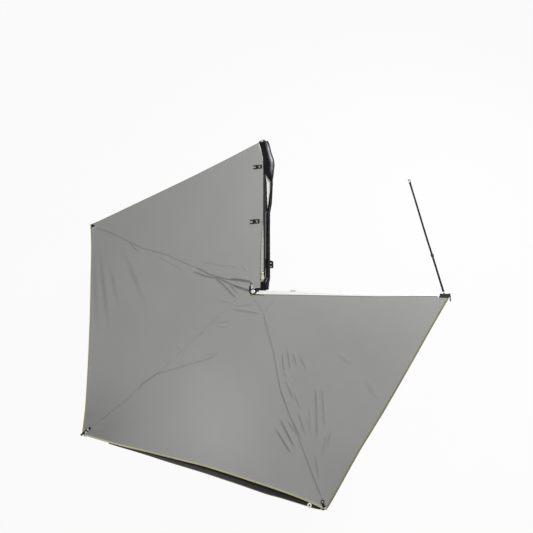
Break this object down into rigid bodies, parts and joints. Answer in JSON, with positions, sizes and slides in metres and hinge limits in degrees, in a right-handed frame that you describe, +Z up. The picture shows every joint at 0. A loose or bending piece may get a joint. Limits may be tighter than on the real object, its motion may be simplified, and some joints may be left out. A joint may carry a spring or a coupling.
{
  "type": "vehicle side awning",
  "caption": "Free-standing fan awning on a roof-rack rail: arms swing on one hub pin and spread a fabric canopy round the side and rear of a vehicle.",
  "frame": {"origin": "middle of the rear bracket's foot, on the face that stands on the roof rack", "axes": "+Z up, +Y towards the vehicle's front along the rail, +X towards the vehicle's right side, away from the canopy's first panel"},
  "size_m": [3.9451, 4.0491, 0.1351],
  "materials": {
    "mill_aluminium": "bright extruded",
    "black_coated_aluminium": "black coated",
    "zinc_steel": "zinc plated",
    "black_coated_steel": "black powder coat",
    "black_plastic": "moulded",
    "white_nylon": "plain",
    "grey_canvas": "matt rip-stop canvas",
    "black_coated_cloth": "coated, slight gloss",
    "black_webbing": "woven"
  },
  "bodies": {
    "root": {"rear_bracket": "black_coated_steel", "front_bracket": "black_coated_steel", "backing_rail": "black_coated_aluminium", "rail_front_cap": "mill_aluminium", "rear_bracket_bolt_1": "zinc_steel", "rear_bracket_bolt_2": "zinc_steel", "front_bracket_bolt_1": "zinc_steel", "front_bracket_bolt_2": "zinc_steel", "rear_bracket_nut_1": "zinc_steel", "rear_bracket_nut_2": "zinc_steel", "front_bracket_nut_1": "zinc_steel", "front_bracket_nut_2": "zinc_steel", "hub_bracket": "black_coated_steel", "hub_bolt_1": "zinc_steel", "hub_bolt_2": "zinc_steel", "hub_pin": "zinc_steel", "hub_nut": "zinc_steel", "bearing_disc_1": "white_nylon", "bearing_disc_2": "white_nylon", "bearing_disc_3": "white_nylon", "bearing_disc_4": "white_nylon", "bearing_disc_5": "white_nylon", "bag_cover": "black_coated_cloth", "rear_strap_tab": "grey_canvas", "front_strap_tab": "grey_canvas", "rear_buckle": "black_plastic", "front_buckle": "black_plastic", "canopy_panel_1": "grey_canvas"},
    "arm_a": {"arm_a_knuckle": "mill_aluminium", "arm_a_tube": "mill_aluminium", "arm_a_root_block": "black_plastic", "arm_a_cross_pin": "zinc_steel", "arm_a_end_cap": "black_plastic", "arm_a_ring": "zinc_steel", "canopy_panel_2": "grey_canvas"},
    "arm_b": {"arm_b_knuckle": "mill_aluminium", "arm_b_tube": "mill_aluminium", "arm_b_root_block": "black_plastic", "arm_b_cross_pin": "zinc_steel", "arm_b_end_cap": "black_plastic", "arm_b_ring": "zinc_steel", "canopy_panel_3": "grey_canvas", "valance": "black_coated_cloth"},
    "arm_c": {"arm_c_knuckle": "mill_aluminium", "arm_c_tube": "mill_aluminium", "arm_c_root_block": "black_plastic", "arm_c_cross_pin": "zinc_steel", "arm_c_end_cap": "black_plastic", "arm_c_ring": "zinc_steel", "canopy_panel_4": "grey_canvas"},
    "arm_d": {"arm_d_knuckle": "mill_aluminium", "arm_d_tube": "mill_aluminium", "arm_d_root_block": "black_plastic", "arm_d_cross_pin": "zinc_steel", "arm_d_end_cap": "black_plastic", "arm_d_ring": "zinc_steel"},
    "strap": {"strap_link": "zinc_steel", "strap_webbing": "black_webbing", "strap_adjuster": "black_plastic", "strap_hook": "black_coated_steel"}
  },
  "joints": [
    {"name": "arm_a_swing", "type": "hinge", "parent": "root", "child": "arm_a", "pos_m": [-0.1693, -0.35, 0.08], "axis": [0, 0, 1], "range_deg": [-66, 0], "deforming": ["canopy_panel_1"]},
    {"name": "arm_b_swing", "type": "hinge", "parent": "arm_a", "child": "arm_b", "pos_m": [-0.1693, -0.35, 0.08], "axis": [0, 0, 1], "range_deg": [-66, 0], "deforming": ["canopy_panel_2"]},
    {"name": "arm_c_swing", "type": "hinge", "parent": "arm_b", "child": "arm_c", "pos_m": [-0.1693, -0.35, 0.08], "axis": [0, 0, 1], "range_deg": [-65.6, 0], "deforming": ["canopy_panel_3", "valance"]},
    {"name": "arm_d_swing", "type": "hinge", "parent": "arm_c", "child": "arm_d", "pos_m": [-0.1693, -0.35, 0.08], "axis": [0, 0, 1], "range_deg": [-67.7, 0], "deforming": ["canopy_panel_4"]},
    {"name": "strap_swing", "type": "hinge", "parent": "arm_d", "child": "strap", "pos_m": [1.73144, -0.48369, 0.08525], "axis": [0, 0, -1], "range_deg": [-78, 0]}
  ]
}
